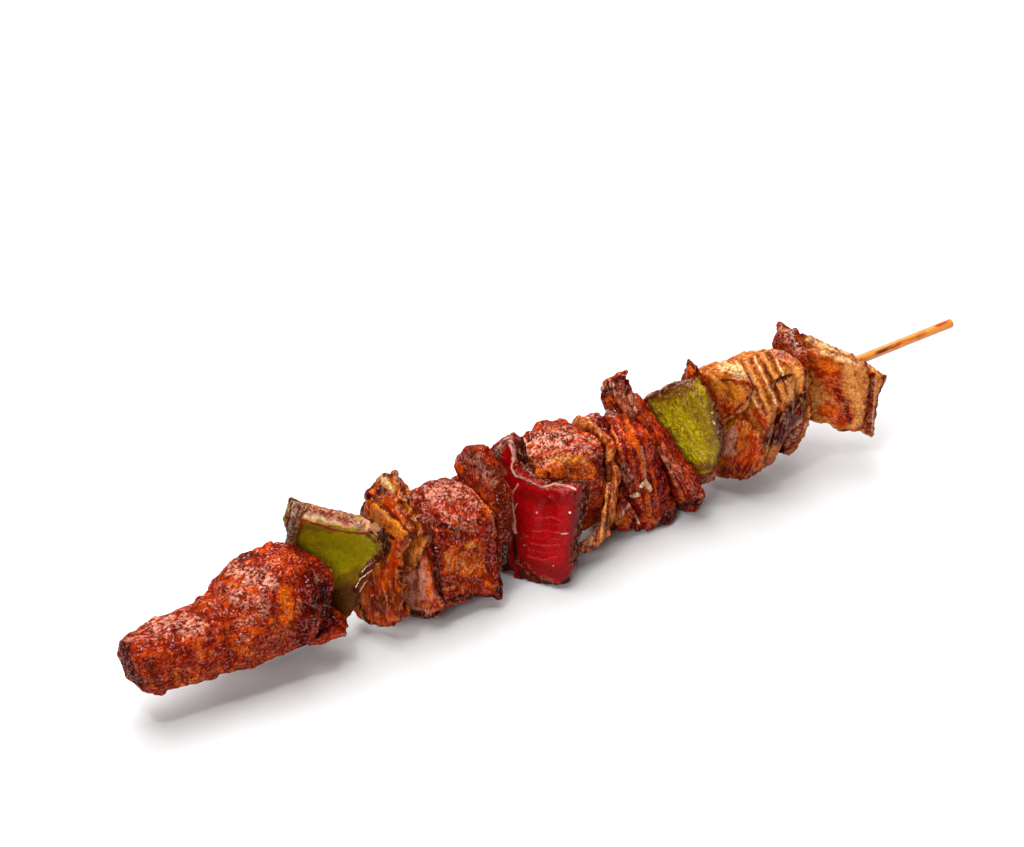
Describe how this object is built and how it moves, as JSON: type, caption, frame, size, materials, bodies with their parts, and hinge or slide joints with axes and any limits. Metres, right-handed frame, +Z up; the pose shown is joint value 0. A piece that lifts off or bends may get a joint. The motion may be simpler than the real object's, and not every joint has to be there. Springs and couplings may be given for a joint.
{
  "type": "meat and vegetable kebab on a skewer",
  "caption": "Grilled beef kebab: glazed meat chunks, pepper squares and onion leaves threaded on a round bamboo skewer, lying on its side.",
  "frame": {"origin": "on the surface the kebab lies on, under the centre of its bounding box", "axes": "+X along the skewer towards its bare handle end, +Z up"},
  "size_m": [0.2522, 0.0302, 0.0403],
  "materials": {
    "roast_meat": "seared deep red-brown meat with orange patches under a wet glaze",
    "roast_onion": "roasted ochre onion with browned and charred edges",
    "green_pepper_skin": "roasted olive green pepper with charred rims",
    "red_pepper_skin": "glossy crimson pepper with dark charred edges",
    "bamboo": "pale bamboo stained with sauce"
  },
  "bodies": {
    "root": {"meat_1": "roast_meat", "meat_2": "roast_meat", "meat_3": "roast_meat", "meat_4": "roast_meat", "meat_5": "roast_meat", "meat_6": "roast_meat", "meat_7": "roast_meat", "meat_8": "roast_meat", "meat_9": "roast_meat", "onion_1": "roast_onion", "onion_2": "roast_onion", "onion_3": "roast_onion", "onion_4": "roast_onion", "onion_5": "roast_onion", "onion_6": "roast_onion", "onion_7": "roast_onion", "onion_8": "roast_onion", "onion_9": "roast_onion", "onion_10": "roast_onion", "onion_11": "roast_onion", "onion_12": "roast_onion", "onion_13": "roast_onion", "green_pepper_1": "green_pepper_skin", "green_pepper_2": "green_pepper_skin", "red_pepper": "red_pepper_skin", "skewer": "bamboo"}
  },
  "joints": []
}
